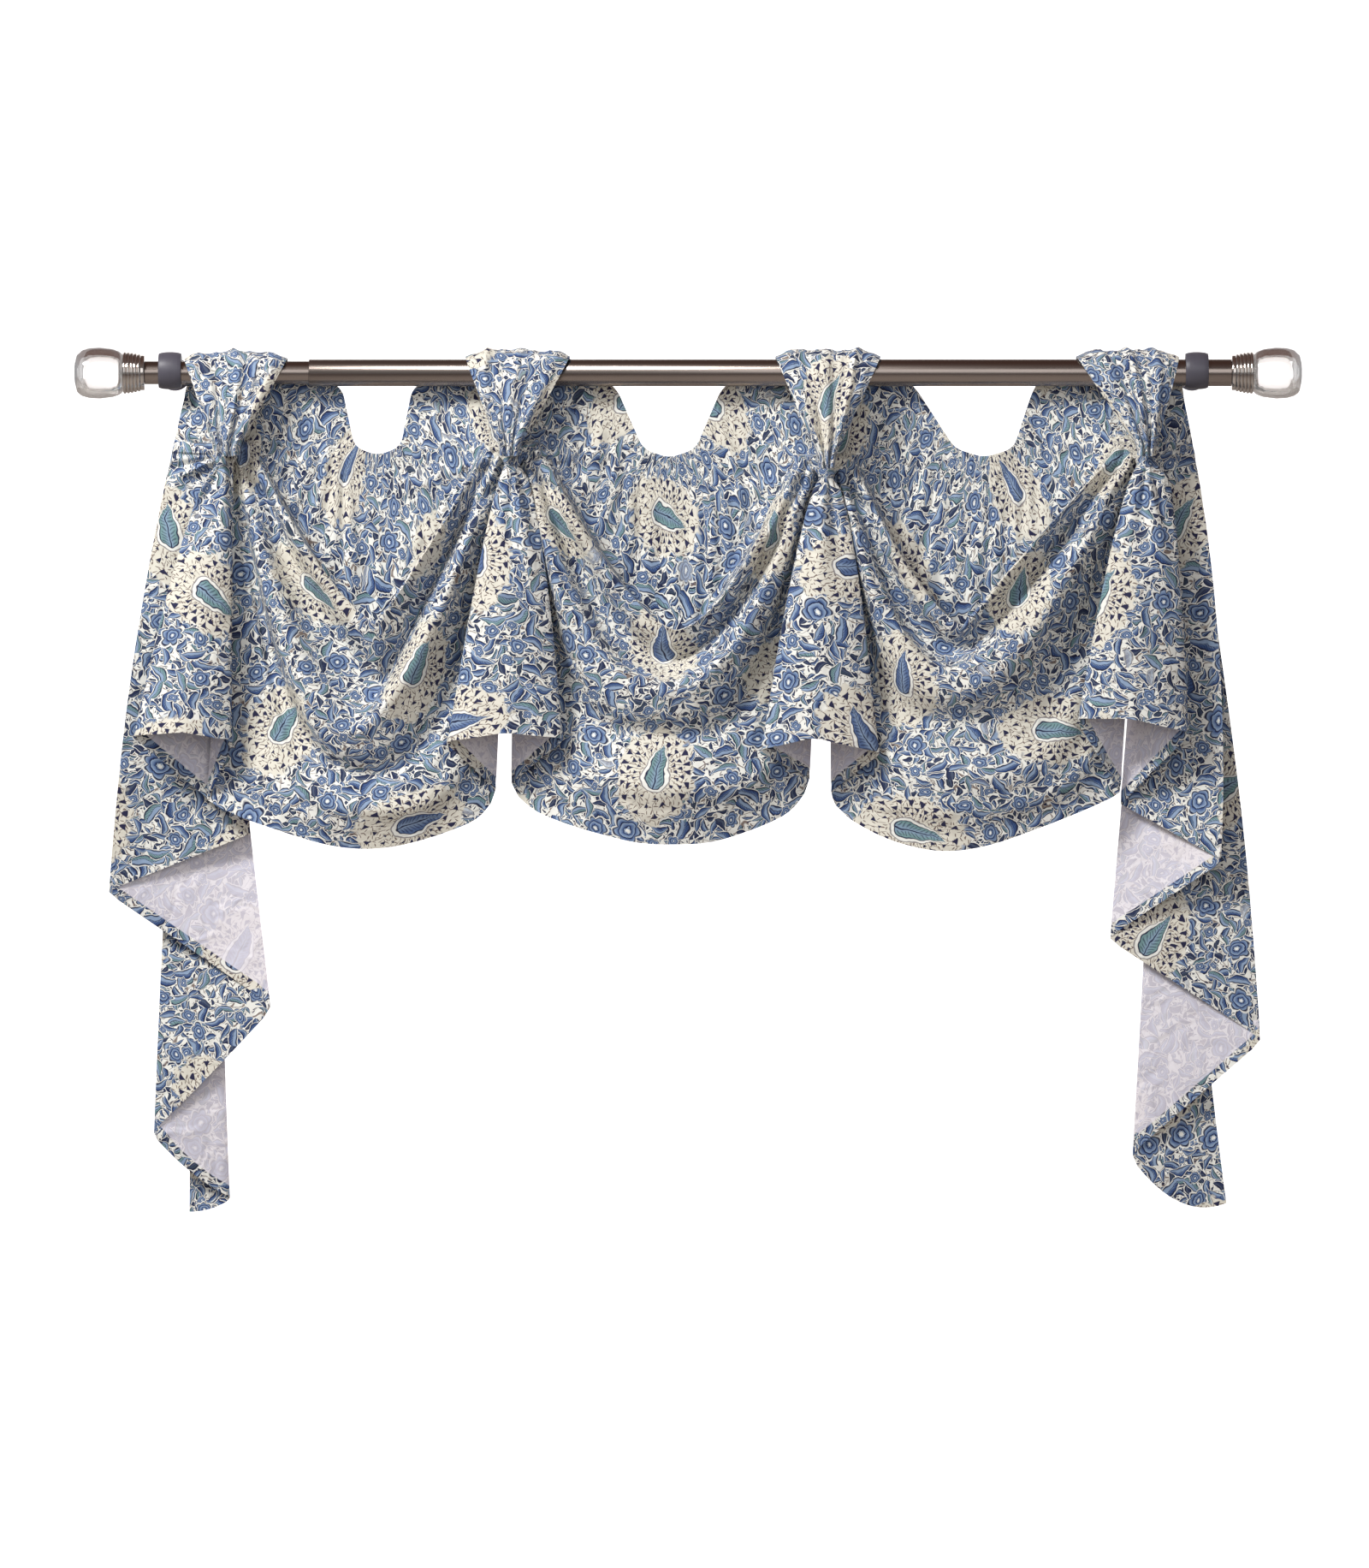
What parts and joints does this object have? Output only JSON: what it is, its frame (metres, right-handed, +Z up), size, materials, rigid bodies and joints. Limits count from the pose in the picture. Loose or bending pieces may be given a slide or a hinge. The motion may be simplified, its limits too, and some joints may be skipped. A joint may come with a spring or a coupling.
{
  "type": "window swag on a curtain rod",
  "caption": "Printed cotton window swag with draped swoops, box pleats and folded side cascades, hung by tabs from a plain metal rod with glass finials.",
  "frame": {"origin": "on the wall plane, behind the middle of the rod and at the height of its axis", "axes": "+X along the rod, to the right as seen from the room; +Y into the wall; +Z up"},
  "size_m": [1.006, 0.1193, 0.7109],
  "materials": {
    "printed_cotton": "cream plain-weave cotton printed with blue and teal flowers and paisleys",
    "rod_metal": "brushed nickel",
    "collar_metal": "polished nickel, ribbed",
    "finial_glass": "clear",
    "bracket_metal": "semi-matte dark grey"
  },
  "bodies": {
    "root": {"swag_panel": "printed_cotton", "tab_1": "printed_cotton", "tab_2": "printed_cotton", "tab_3": "printed_cotton", "tab_4": "printed_cotton", "rod_outer": "rod_metal", "rod_inner": "rod_metal", "finial_collar_left": "collar_metal", "finial_collar_right": "collar_metal", "finial_glass_left": "finial_glass", "finial_glass_right": "finial_glass", "bracket_cup_left": "bracket_metal", "bracket_cup_right": "bracket_metal", "bracket_arm_left": "bracket_metal", "bracket_arm_right": "bracket_metal", "wall_plate_left": "bracket_metal", "wall_plate_right": "bracket_metal"}
  },
  "joints": []
}
